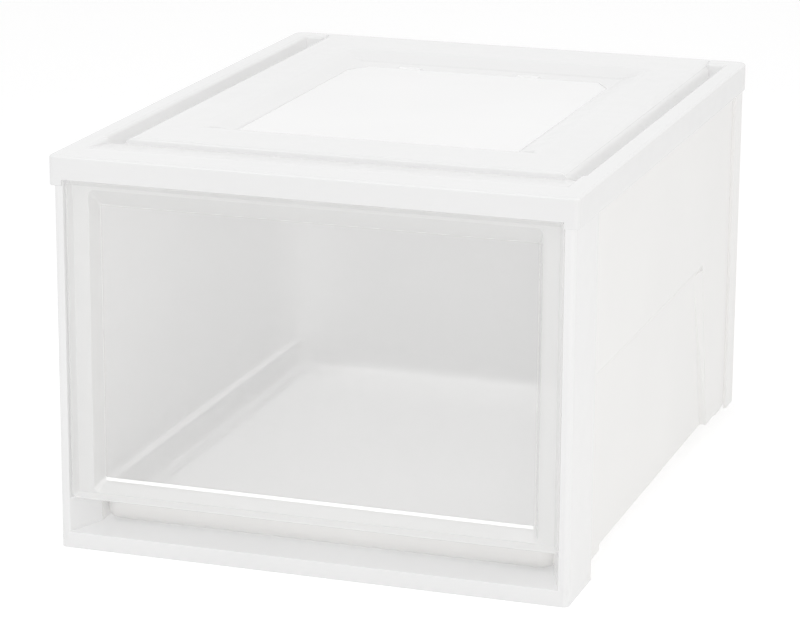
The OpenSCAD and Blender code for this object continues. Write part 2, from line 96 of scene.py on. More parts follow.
@dataclass(frozen=True)
class Plastic:
    """A moulded plastic: cloudy tint, uneven gloss and a fine grain, all worked out in the object's space.

    Args:
        name: Name of the material.
        tint: Linear colour.
        mottle: How much darker the cloudy patches are, from 0 to 1.
        gloss: Lowest and highest roughness.
        grain: Height of the surface's grain, in millimetres.
        grain_size: Size of the grain, in millimetres.
        alpha: Share of the light that the plastic stops.
        pass_through: Share of the lamps' light that gets through each face of a thin wall.
        bounce_through: The same for light that comes from other surfaces.
        one_way: Whether the light from other surfaces only gets through from behind.
        sheen_coat: Weight of the clear outer layer.
    """

    name: str
    tint: Colour
    mottle: float = 0.04
    gloss: tuple[float, float] = (0.30, 0.38)
    grain: float = 0.02
    grain_size: float = 0.8
    alpha: float = 1.0
    pass_through: float = 0.0
    bounce_through: float = 0.0
    one_way: bool = False
    sheen_coat: float = 0.0

    def build(self) -> bpy.types.Material:
        """Makes the material, or finds it if it is there.

        Returns:
            The material.
        """
        found = bpy.data.materials.get(self.name)
        if found:
            return found
        material = bpy.data.materials.new(self.name)
        material.use_nodes = True
        tree = material.node_tree
        shader = tree.nodes["Principled BSDF"]
        shader.inputs["IOR"].default_value = PLASTIC_IOR
        shader.inputs["Alpha"].default_value = self.alpha
        if self.pass_through > 0:
            self._let_light_through(tree, shader)
        shader.inputs["Coat Weight"].default_value = self.sheen_coat
        shader.inputs["Coat Roughness"].default_value = COAT_ROUGHNESS
        place = tree.nodes.new("ShaderNodeTexCoord")
        self._cloud(tree, shader, place)
        self._wear(tree, shader, place)
        self._roughen(tree, shader, place)
        return material

    def _cloud(self, tree: bpy.types.NodeTree, shader: bpy.types.Node, place: bpy.types.Node) -> None:
        """Gives the plastic its cloudy tint.

        Args:
            tree: The material's nodes.
            shader: Its shader.
            place: The node that gives the place.
        """
        clouds = self._noise(tree, place, CLOUDS_PER_METRE, 2.0)
        ramp = tree.nodes.new("ShaderNodeValToRGB")
        ramp.color_ramp.elements[0].color = (*(c * (1 - self.mottle) for c in self.tint), 1)
        ramp.color_ramp.elements[1].color = (*self.tint, 1)
        tree.links.new(clouds.outputs["Fac"], ramp.inputs["Fac"])
        tree.links.new(ramp.outputs["Color"], shader.inputs["Base Color"])

    def _wear(self, tree: bpy.types.NodeTree, shader: bpy.types.Node, place: bpy.types.Node) -> None:
        """Gives the plastic its uneven gloss.

        Args:
            tree: The material's nodes.
            shader: Its shader.
            place: The node that gives the place.
        """
        wear = self._noise(tree, place, WEAR_PER_METRE, 3.0)
        spread = tree.nodes.new("ShaderNodeMapRange")
        spread.inputs["From Min"].default_value, spread.inputs["From Max"].default_value = WEAR_RANGE
        spread.inputs["To Min"].default_value, spread.inputs["To Max"].default_value = self.gloss
        tree.links.new(wear.outputs["Fac"], spread.inputs["Value"])
        tree.links.new(spread.outputs["Result"], shader.inputs["Roughness"])

    def _roughen(self, tree: bpy.types.NodeTree, shader: bpy.types.Node, place: bpy.types.Node) -> None:
        """Gives the plastic its fine grain.

        Args:
            tree: The material's nodes.
            shader: Its shader.
            place: The node that gives the place.
        """
        grain = self._noise(tree, place, 1 / (self.grain_size * MM), 2.0)
        bump = tree.nodes.new("ShaderNodeBump")
        bump.inputs["Strength"].default_value = GRAIN_STRENGTH
        bump.inputs["Distance"].default_value = self.grain * MM
        tree.links.new(grain.outputs["Fac"], bump.inputs["Height"])
        tree.links.new(bump.outputs["Normal"], shader.inputs["Normal"])

    def _let_light_through(self, tree: bpy.types.NodeTree, shader: bpy.types.Node) -> None:
        """Lets some of the light through a thin wall, which looks as dense as before.

        Args:
            tree: The material's nodes.
            shader: Its shader.
        """
        path = tree.nodes.new("ShaderNodeLightPath")
        stopped = None
        for ray, share in (("Is Shadow Ray", self.pass_through), ("Is Diffuse Ray", self.bounce_through)):
            keep = tree.nodes.new("ShaderNodeMapRange")
            keep.inputs["To Min"].default_value = 1.0
            keep.inputs["To Max"].default_value = 1 - share
            tree.links.new(self._from_behind(tree, path.outputs[ray], ray), keep.inputs["Value"])
            product = tree.nodes.new("ShaderNodeMath")
            product.operation = "MULTIPLY"
            product.inputs[1].default_value = self.alpha
            tree.links.new(keep.outputs["Result"], product.inputs[0])
            if stopped:
                tree.links.new(stopped, product.inputs[1])
            stopped = product.outputs["Value"]
        tree.links.new(stopped, shader.inputs["Alpha"])

    def _from_behind(self, tree: bpy.types.NodeTree, socket: bpy.types.NodeSocket,
                     ray: str) -> bpy.types.NodeSocket:
        """Leaves out the rays that meet the front of a one-way face.

        Args:
            tree: The material's nodes.
            socket: Output that tells the kind of ray.
            ray: Name of that kind.

        Returns:
            The output to use in its place.
        """
        if not self.one_way or ray != "Is Diffuse Ray":
            return socket
        side = tree.nodes.new("ShaderNodeNewGeometry")
        both = tree.nodes.new("ShaderNodeMath")
        both.operation = "MULTIPLY"
        tree.links.new(socket, both.inputs[0])
        tree.links.new(side.outputs["Backfacing"], both.inputs[1])
        return both.outputs["Value"]

    @staticmethod
    def _noise(tree: bpy.types.NodeTree, place: bpy.types.Node, scale: float,
               detail: float) -> bpy.types.Node:
        """Adds a noise that reads the object's own space.

        Args:
            tree: The material's nodes.
            place: The node that gives the place.
            scale: Number of its lumps in a metre.
            detail: Number of finer layers.

        Returns:
            The noise.
        """
        noise = tree.nodes.new("ShaderNodeTexNoise")
        noise.inputs["Scale"].default_value = scale
        noise.inputs["Detail"].default_value = detail
        tree.links.new(place.outputs["Object"], noise.inputs["Vector"])
        return noise


CAP_WHITE = Plastic("cap_white_gloss", (0.9, 0.9, 0.9), gloss=(0.20, 0.25), pass_through=0.95,
                    bounce_through=0.93)
CASE_WHITE = Plastic("case_white_gloss", (0.93, 0.93, 0.93), gloss=(0.20, 0.25), pass_through=0.95,
                     bounce_through=0.95)
PANEL_WHITE = Plastic("panel_white_satin", (0.93, 0.925, 0.915), gloss=(0.34, 0.40), grain=0.03,
                      pass_through=0.95, bounce_through=0.9)
CAP_OUTER = replace(CAP_WHITE, name="cap_white_outer", one_way=True)
CASE_OUTER = replace(CASE_WHITE, name="case_white_outer", one_way=True)
PANEL_OUTER = replace(PANEL_WHITE, name="panel_white_outer", one_way=True)
WINDOW_FROST = Plastic("window_frost", (0.99, 0.99, 0.99), gloss=(0.5, 0.6), grain=0.04, grain_size=1.2,
                       pass_through=0.85, bounce_through=0.7)
TRAY_CLEAR = Plastic("tray_clear", (0.96, 0.952, 0.94), gloss=(0.35, 0.45), grain=0.01, alpha=0.6,
                     pass_through=0.95, bounce_through=0.95)
PANE_CLEAR = Plastic("pane_clear", (0.96, 0.96, 0.96), gloss=(0.08, 0.14), grain=0.006, alpha=0.27,
                     mottle=0.0, pass_through=0.9, bounce_through=0.9)
BORDER_CLEAR = Plastic("border_clear", (0.87, 0.87, 0.865), gloss=(0.08, 0.14), grain=0.006, alpha=0.65,
                       mottle=0.02, pass_through=0.95, bounce_through=0.9, sheen_coat=1.0)


# ---- Building shapes ----

LEAST_RADIUS = 0.05
MOST_SOFT = 0.48
SHORTEST_EDGE = 2.5
FLAT_WEIGHT = 80


@dataclass(frozen=True)
class Ring:
    """A rounded rectangle at one level of a loft.

    Args:
        left: Lowest place across.
        right: Highest place across.
        low: Lowest place along the outline's other direction.
        high: Highest place along it.
        level: Place along the loft.
        radius: Corner radius.
        soft: How far the loft's profile is rounded to either side of this ring.
    """

    left: float
    right: float
    low: float
    high: float
    level: float
    radius: float = 0.5
    soft: float = 0.0

    def toward(self, other: "Ring", share: float) -> "Ring":
        """The ring that lies a share of the way to another.

        Args:
            other: The other ring.
            share: Share of the way, from 0 to 1.

        Returns:
            The ring between them.
        """
        mine = (self.left, self.right, self.low, self.high, self.level, self.radius)
        theirs = (other.left, other.right, other.low, other.high, other.level, other.radius)
        return Ring(*(a + (b - a) * share for a, b in zip(mine, theirs)))

    def reach(self, other: "Ring") -> float:
        """The longest distance between the sides of two rings.

        Args:
            other: The other ring.

        Returns:
            The distance, in millimetres.
        """
        rise = other.level - self.level
        sides = ((self.left, other.left), (self.right, other.right), (self.low, other.low),
                 (self.high, other.high))
        return max(math.hypot(a - b, rise) for a, b in sides)

    def outline(self, steps: int) -> list[Point]:
        """The ring's points, with its corners turned in equal steps.

        Args:
            steps: Number of steps in each corner.

        Returns:
            The points in order.
        """
        r = max(self.radius, LEAST_RADIUS)
        middles = ((self.right - r, self.high - r, 0), (self.left + r, self.high - r, 90),
                   (self.left + r, self.low + r, 180), (self.right - r, self.low + r, 270))
        turns = [90 * i / steps for i in range(steps + 1)]
        return [(cu + r * math.cos(math.radians(start + t)), cv + r * math.sin(math.radians(start + t)))
                for cu, cv, start in middles for t in turns]


def even_ring(half: float, low: float, high: float, level: float, inset: float = 0.0, radius: float = 0.5,
              soft: float = 0.0) -> Ring:
    """A ring that is as wide to the left as to the right, drawn in by an inset."""
    return Ring(-half + inset, half - inset, low + inset, high - inset, level,
                max(radius - inset, LEAST_RADIUS), soft)


def softened(rings: Sequence[Ring], steps: int = 5) -> list[Ring]:
    """Rounds a loft's profile where its rings ask for it.

    Args:
        rings: The rings in order.
        steps: Number of steps in each rounding.

    Returns:
        The rings with the rounded ones replaced by short runs of rings.
    """
    out = [rings[0]]
    for before, here, after in zip(rings, rings[1:], rings[2:]):
        if here.soft <= 0:
            out.append(here)
            continue
        start = here.toward(before, min(here.soft / here.reach(before), MOST_SOFT))
        end = here.toward(after, min(here.soft / here.reach(after), MOST_SOFT))
        for i in range(steps + 1):
            t = i / steps
            out.append(start.toward(here, t).toward(here.toward(end, t), t))
    return out + [rings[-1]]


def join_rows(bm: bmesh.types.BMesh,
              rows: Sequence[Sequence[bmesh.types.BMVert]]) -> list[bmesh.types.BMFace]:
    """Joins closed rows of points with faces.

    Args:
        bm: Mesh that takes the faces.
        rows: The rows in order, with as many points in each.

    Returns:
        The faces.
    """
    faces = []
    for row, following in zip(rows, rows[1:]):
        for i in range(len(row)):
            j = (i + 1) % len(row)
            faces.append(bm.faces.new((row[i], row[j], following[j], following[i])))
    return faces


def row_edges(bm: bmesh.types.BMesh, row: Sequence[bmesh.types.BMVert]) -> list[bmesh.types.BMEdge]:
    """The edges that join the neighbours of a closed row."""
    return [bm.edges.get(pair) for pair in zip(row, [*row[1:], row[0]])]


def closed_loft(bm: bmesh.types.BMesh, rings: Sequence[Ring], lie: Lie, steps: int = 6) -> None:
    """Joins rings with faces and closes both ends.

    Args:
        bm: Mesh that takes the faces.
        rings: The rings in order.
        lie: How the rings lie.
        steps: Number of steps in each corner.
    """
    rows = [[bm.verts.new(lie.place(u, v, ring.level)) for u, v in ring.outline(steps)]
            for ring in softened(rings)]
    join_rows(bm, rows)
    bm.faces.new(rows[0])
    bm.faces.new(rows[-1])


def prism(bm: bmesh.types.BMesh, outline: Sequence[Point], start: float, end: float, lie: Lie,
          edge: float = 0.0) -> None:
    """Adds an outline run between two levels, with its edges rounded.

    Args:
        bm: Mesh that takes the faces.
        outline: The outline's points.
        start: First level.
        end: Last level.
        lie: How the outline lies.
        edge: Radius of all its edges.
    """
    rows = [[bm.verts.new(lie.place(u, v, level)) for u, v in outline] for level in (start, end)]
    faces = [*(bm.faces.new(row) for row in rows), *join_rows(bm, rows)]
    bmesh.ops.recalc_face_normals(bm, faces=faces)
    if edge > 0:
        edges = list({e for f in faces for e in f.edges})
        bmesh.ops.bevel(bm, geom=edges, offset=edge * MM, segments=2, profile=0.5, affect="EDGES",
                        clamp_overlap=True)


def box_outline(lo: Point, hi: Point) -> list[Point]:
    """The four corners of a rectangle."""
    return [(lo[0], lo[1]), (hi[0], lo[1]), (hi[0], hi[1]), (lo[0], hi[1])]


def finish_piece(name: str, mesh: bpy.types.Mesh, body: Body, finish: Plastic,
                 stands_for: Iterable[str] = (), crease: float = SHARP) -> bpy.types.Object:
    """Gives a mesh its object, shading, finish and place in the frame.

    Args:
        name: Name of the piece.
        mesh: The mesh, already in its place.
        body: Body that carries it.
        finish: Its plastic.
        stands_for: CAD nodes that it replaces.
        crease: Least angle between faces that shows as an edge.

    Returns:
        The piece.
    """
    mesh.name = name
    mesh.materials.clear()
    mesh.materials.append(finish.build())
    mesh.shade_smooth()
    mesh.set_sharp_from_angle(angle=crease)
    piece = bpy.data.objects.new(name, mesh)
    bpy.context.collection.objects.link(piece)
    weigh = piece.modifiers.new("weighted_normals", "WEIGHTED_NORMAL")
    weigh.keep_sharp = True
    weigh.weight = FLAT_WEIGHT
    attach(piece, body.value)
    if stands_for:
        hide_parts(*stands_for)
    LOG.info("%s: %d faces, on %s", name, len(mesh.polygons), body.value)
    return piece


def closed_mesh(bm: bmesh.types.BMesh, merge: float = 0.001) -> bpy.types.Mesh:
    """Merges a shape's doubled points, turns its faces outwards and hands over its mesh.

    Args:
        bm: The shape, which is freed.
        merge: Distance within which points are merged, in millimetres.

    Returns:
        The mesh.
    """
    bmesh.ops.remove_doubles(bm, verts=bm.verts, dist=merge * MM)
    bmesh.ops.dissolve_degenerate(bm, edges=bm.edges, dist=merge * MM)
    bmesh.ops.recalc_face_normals(bm, faces=bm.faces)
    mesh = bpy.data.meshes.new("shape")
    bm.to_mesh(mesh)
    bm.free()
    return mesh


def coat_outside(piece: bpy.types.Object, finish: Plastic, way: Vector, least: float = 0.05) -> None:
    """Gives another finish to the faces that look away from the object's middle.

    Args:
        piece: The piece.
        finish: Finish of its outer side.
        way: Direction in which the piece lies from the middle, without its sign.
        least: Least share of a face's direction that points away from the middle.
    """
    piece.data.materials.append(finish.build())
    for face in piece.data.polygons:
        outward = face.normal.dot(way) * math.copysign(1, face.center.dot(way))
        face.material_index = 1 if outward > least else 0


@dataclass(frozen=True)
class SoftEdge:
    """A rule for rounding some edges of a node more, or less, than the rest.

    Args:
        lo: Lowest corner of the space that holds the edges.
        hi: Highest corner of that space.
        radius: Radius of the rounding.
        least: Least angle between the faces at an edge, in degrees.
        segments: Number of steps in the rounding.
    """

    lo: tuple[float, float, float]
    hi: tuple[float, float, float]
    radius: float
    least: float = 35.0
    segments: int = 3

    def holds(self, edge: bmesh.types.BMEdge) -> bool:
        """Whether the rule takes an edge.

        Args:
            edge: The edge.

        Returns:
            True if it is sharp and long enough and lies in the rule's space.
        """
        if not edge.is_manifold or edge.calc_face_angle(0) < math.radians(self.least):
            return False
        if edge.calc_length() < SHORTEST_EDGE * self.radius * MM:
            return False
        low, high = (Lie.FLAT.place(*corner) for corner in (self.lo, self.hi))
        return all(a <= c <= b for vert in edge.verts for a, c, b in zip(low, vert.co, high))


EVERYWHERE = ((-400.0, -400.0, -400.0), (400.0, 900.0, 900.0))


@dataclass(frozen=True)
class MouldedNode:
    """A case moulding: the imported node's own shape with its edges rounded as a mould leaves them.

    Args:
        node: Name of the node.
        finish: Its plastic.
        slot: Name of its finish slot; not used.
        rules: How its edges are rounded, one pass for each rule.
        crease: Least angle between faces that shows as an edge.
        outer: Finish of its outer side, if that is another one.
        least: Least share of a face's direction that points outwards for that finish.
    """

    node: str
    finish: Plastic
    slot: str
    rules: tuple[SoftEdge, ...]
    crease: float = SHARP
    outer: Plastic | None = None
    least: float = 0.05

    def build(self) -> bpy.types.Object:
        """Builds the moulding.

        Returns:
            The piece.
        """
        bm = bmesh.new()
        bm.from_mesh(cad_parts[self.node].data)
        bmesh.ops.remove_doubles(bm, verts=bm.verts, dist=0.0005 * MM)
        for rule in self.rules:
            edges = [e for e in bm.edges if rule.holds(e)]
            if edges:
                bmesh.ops.bevel(bm, geom=edges, offset=rule.radius * MM, segments=rule.segments,
                                profile=0.5, affect="EDGES", clamp_overlap=False)
            LOG.info("%s: %d edges rounded by %.1f mm", self.node, len(edges), rule.radius)
        piece = finish_piece(self.node + "_moulding", closed_mesh(bm), Body.CASE, self.finish,
                             [self.node], self.crease)
        if self.outer:
            coat_outside(piece, self.outer, Vector((1, 0, 0)), self.least)
        return piece


class PieceTree:
    """A node tree that is built once and makes meshes from its named inputs."""

    NAME = ""
    INPUTS: dict[str, str] = {}

    def __init__(self) -> None:
        """Finds the tree, or builds it."""
        self.tree = bpy.data.node_groups.get(self.NAME)
        if self.tree is None:
            self.tree = bpy.data.node_groups.new(self.NAME, "GeometryNodeTree")
            for name, kind in self.INPUTS.items():
                self.tree.interface.new_socket(name, in_out="INPUT", socket_type="NodeSocket" + kind)
            self.tree.interface.new_socket("Geometry", in_out="OUTPUT", socket_type="NodeSocketGeometry")
            self._build(self._node("NodeGroupInput"), self._node("NodeGroupOutput"))

    def _build(self, entry: bpy.types.Node, leave: bpy.types.Node) -> None:
        """Adds the tree's nodes between its entry and its end."""
        raise NotImplementedError

    def _node(self, kind: str) -> bpy.types.Node:
        """Adds a node."""
        return self.tree.nodes.new(kind)

    def _link(self, source: bpy.types.Node, output: str, target: bpy.types.Node, entry: str) -> None:
        """Links two sockets by their names."""
        self.tree.links.new(source.outputs[output], target.inputs[entry])

    def _run(self, values: dict[str, object], data: bpy.types.ID | None = None) -> bpy.types.Mesh:
        """Runs the tree on a carrier object and keeps only the mesh that comes out.

        Args:
            values: Value of each named input.
            data: What the carrier holds, or nothing for an empty mesh.

        Returns:
            The finished mesh.
        """
        carrier = bpy.data.objects.new("carrier", data or bpy.data.meshes.new("carrier"))
        bpy.context.collection.objects.link(carrier)
        modifier = carrier.modifiers.new("nodes", "NODES")
        modifier.node_group = self.tree
        for socket in self.tree.interface.items_tree:
            if socket.in_out == "INPUT" and socket.name in values:
                modifier[socket.identifier] = values[socket.name]
        bpy.context.view_layer.update()
        depsgraph = bpy.context.evaluated_depsgraph_get()
        result = bpy.data.meshes.new_from_object(carrier.evaluated_get(depsgraph))
        carrier.modifiers.remove(modifier)
        bpy.data.objects.remove(carrier)
        return result


class RowTree(PieceTree):
    """Sets a small block at equal steps along a line."""

    NAME = "row_of_blocks"
    INPUTS = {"Count": "Int", "Start": "Vector", "Step": "Vector", "Size": "Vector", "Finish": "Material"}

    def _build(self, entry: bpy.types.Node, leave: bpy.types.Node) -> None:
        """Adds the line, the block on each of its points and the finish.

        Args:
            entry: The tree's inputs.
            leave: Its output.
        """
        line = self._node("GeometryNodeMeshLine")
        block = self._node("GeometryNodeMeshCube")
        put = self._node("GeometryNodeInstanceOnPoints")
        real = self._node("GeometryNodeRealizeInstances")
        paint = self._node("GeometryNodeSetMaterial")
        self._link(entry, "Count", line, "Count")
        self._link(entry, "Start", line, "Start Location")
        self._link(entry, "Step", line, "Offset")
        self._link(entry, "Size", block, "Size")
        self._link(line, "Mesh", put, "Points")
        self._link(block, "Mesh", put, "Instance")
        self._link(put, "Instances", real, "Geometry")
        self._link(real, "Geometry", paint, "Geometry")
        self._link(entry, "Finish", paint, "Material")
        self._link(paint, "Geometry", leave, "Geometry")

    def make(self, count: int, start: Vector, step: Vector, size: Vector, finish: Plastic) -> bpy.types.Mesh:
        """Runs the tree.

        Args:
            count: Number of blocks.
            start: Place of the first one, in metres.
            step: Way from one to the next.
            size: Size of each.
            finish: Their plastic.

        Returns:
            The blocks as one mesh.
        """
        return self._run({"Count": count, "Start": start, "Step": step, "Size": size,
                          "Finish": finish.build()})


class BeadTree(PieceTree):
    """Runs a round bead along a path with rounded corners."""

    NAME = "bead_along_path"
    INPUTS = {"Path": "Geometry", "Corner": "Float", "Bead": "Float", "Finish": "Material"}
    TURN_STEPS = 8
    ROUND_STEPS = 12

    def _build(self, entry: bpy.types.Node, leave: bpy.types.Node) -> None:
        """Adds the turns, the round section, its run along the path and the finish.

        Args:
            entry: The tree's inputs.
            leave: Its output.
        """
        turn = self._node("GeometryNodeFilletCurve")
        section = self._node("GeometryNodeCurvePrimitiveCircle")
        sweep = self._node("GeometryNodeCurveToMesh")
        real = self._node("GeometryNodeRealizeInstances")
        paint = self._node("GeometryNodeSetMaterial")
        turn.mode = "POLY"
        turn.inputs["Count"].default_value = self.TURN_STEPS
        section.inputs["Resolution"].default_value = self.ROUND_STEPS
        sweep.inputs["Fill Caps"].default_value = True
        self._link(entry, "Path", turn, "Curve")
        self._link(entry, "Corner", turn, "Radius")
        self._link(entry, "Bead", section, "Radius")
        self._link(turn, "Curve", sweep, "Curve")
        self._link(section, "Curve", sweep, "Profile Curve")
        self._link(sweep, "Mesh", real, "Geometry")
        self._link(real, "Geometry", paint, "Geometry")
        self._link(entry, "Finish", paint, "Material")
        self._link(paint, "Geometry", leave, "Geometry")

    def make(self, path: Sequence[Vector], corner: float, bead: float, finish: Plastic) -> bpy.types.Mesh:
        """Runs the tree along an open path.

        Args:
            path: The path's corners, in metres.
            corner: Radius of its turns.
            bead: Radius of the bead.
            finish: Its plastic.

        Returns:
            The bead's mesh.
        """
        line = bpy.data.curves.new("path", "CURVE")
        line.dimensions = "3D"
        spline = line.splines.new("POLY")
        spline.points.add(len(path) - 1)
        for point, place in zip(spline.points, path):
            point.co = (*place, 1)
        return self._run({"Corner": corner, "Bead": bead, "Finish": finish.build()}, line)


# ---- Drawer ----


@dataclass(frozen=True)
class DrawerFront:
    """The drawer's see-through front: a raised rim, a flange, sloped bands and a sunken pane.

    Args:
        half: Half of its width.
        low: Its lower edge.
        high: Its upper edge.
        face: Depth of the rim's face.
        back: Depth at which the edge's return ends.
        thick: Wall thickness.
        rim: Width of the rim's face.
        dish: Width of the small slope inside the rim.
        flange: Width of the flange with the rim, at the sides, at the top and at the bottom.
        flange_y: Depth of the flange.
        band: Width of the sloped bands at the sides, at the top and at the bottom.
        pane_y: Depth of the pane.
        ledge: Height and depth of the narrow ledge between the lower band and the pane.
        lip_y: Depth at which the finger lip ends.
        corner: Plan radius of the outer corners.
    """

    half: float = 184.9
    low: float = 38.0
    high: float = 276.5
    face: float = 5.0
    back: float = 15.0
    thick: float = 2.4
    rim: float = 0.8
    dish: float = 3.4
    flange: tuple[float, float, float] = (16.0, 6.5, 5.0)
    flange_y: float = 8.5
    band: tuple[float, float, float] = (5.0, 12.5, 9.0)
    pane_y: float = 18.5
    ledge: Point = (2.3, 1.27)
    lip_y: float = 20.9
    corner: float = 4.0

    def build(self) -> bpy.types.Object:
        """Builds the front.

        Returns:
            The piece.
        """
        bm = bmesh.new()
        closed_loft(bm, [*self._face_rings(), *self._back_rings()], Lie.UPRIGHT)
        reach = self.half - 2 * self.thick
        prism(bm, box_outline((-reach, self.back - self.thick), (reach, self.lip_y)), self.low,
              self.low + self.thick, Lie.FLAT, 0.5)
        piece = finish_piece("drawer_front_pane", closed_mesh(bm), Body.DRAWER, PANE_CLEAR,
                             ["drawer_front"])
        self._frost_border(piece.data)
        return piece

    def _frost_border(self, mesh: bpy.types.Mesh) -> None:
        """Gives all but the pane the denser finish of the thick border.

        Args:
            mesh: Mesh of the front.
        """
        mesh.materials.append(BORDER_CLEAR.build())
        edge = 0.2
        side = self.half - self.flange[0] - self.band[0] - edge
        low = self.low + self.flange[2] + self.band[2] - edge / 2
        high = self.high - self.flange[1] - self.band[1] - edge
        for face in mesh.polygons:
            x, z = face.center.x / MM, face.center.z / MM
            face.material_index = 0 if abs(x) < side and low < z < high else 1

    def _face_rings(self) -> list[Ring]:
        """Rings of the face, from the pane out to the edge's return.

        Returns:
            The rings in order.
        """
        side, top, foot = self.flange
        band_side, band_top, band_low = self.band
        rise, run = self.ledge
        x, z0, z1 = self.half - side, self.low + foot, self.high - top
        share = run / (self.pane_y - self.flange_y)
        pane = Ring(-x + band_side, x - band_side, z0 + band_low, z1 - band_top, self.pane_y, 2.0, 0.35)
        ledge = Ring(-x + band_side * (1 - share), x - band_side * (1 - share), z0 + band_low - rise,
                     z1 - band_top * (1 - share), self.pane_y - run, 2.5, 0.35)
        flange = Ring(-x, x, z0, z1, self.flange_y, 4.0, 0.9)
        inset = self.rim + self.dish
        flat = Ring(pane.left + 1, pane.right - 1, pane.low + 1, pane.high - 1, self.pane_y, 1.0)
        return [flat, pane, ledge, flange,
                even_ring(self.half, self.low, self.high, self.flange_y, inset, self.corner, 0.4),
                even_ring(self.half, self.low, self.high, self.face, self.rim, self.corner, 0.35),
                even_ring(self.half, self.low, self.high, self.face, 0.0, self.corner, 0.45)]

    def _back_rings(self) -> list[Ring]:
        """Rings of the back, from the edge's return in to the pane.

        Returns:
            The rings in order.
        """
        side, top, foot = self.flange
        x, z0, z1 = self.half - side, self.low + foot, self.high - top
        depth = self.pane_y - self.flange_y
        shifts = [self._shift(band, depth) for band in self.band]
        outer = Ring(-x - shifts[0], x + shifts[0], z0 - shifts[2], z1 + shifts[1],
                     self.flange_y + self.thick, 5.0, 0.6)
        inner = Ring(outer.left + self.band[0], outer.right - self.band[0], outer.low + self.band[2],
                     outer.high - self.band[1], self.pane_y + self.thick, 3.0, 0.6)
        return [even_ring(self.half, self.low, self.high, self.back, 0.0, self.corner, 0.4),
                even_ring(self.half, self.low, self.high, self.back, self.thick, self.corner, 0.4),
                even_ring(self.half, self.low, self.high, self.flange_y + self.thick, self.thick,
                          self.corner),
                outer, inner]

    def _shift(self, band: float, depth: float) -> float:
        """How far the back of a band is set out, so that the band keeps its wall thickness."""
        return self.thick * (math.hypot(band, depth) - band) / depth


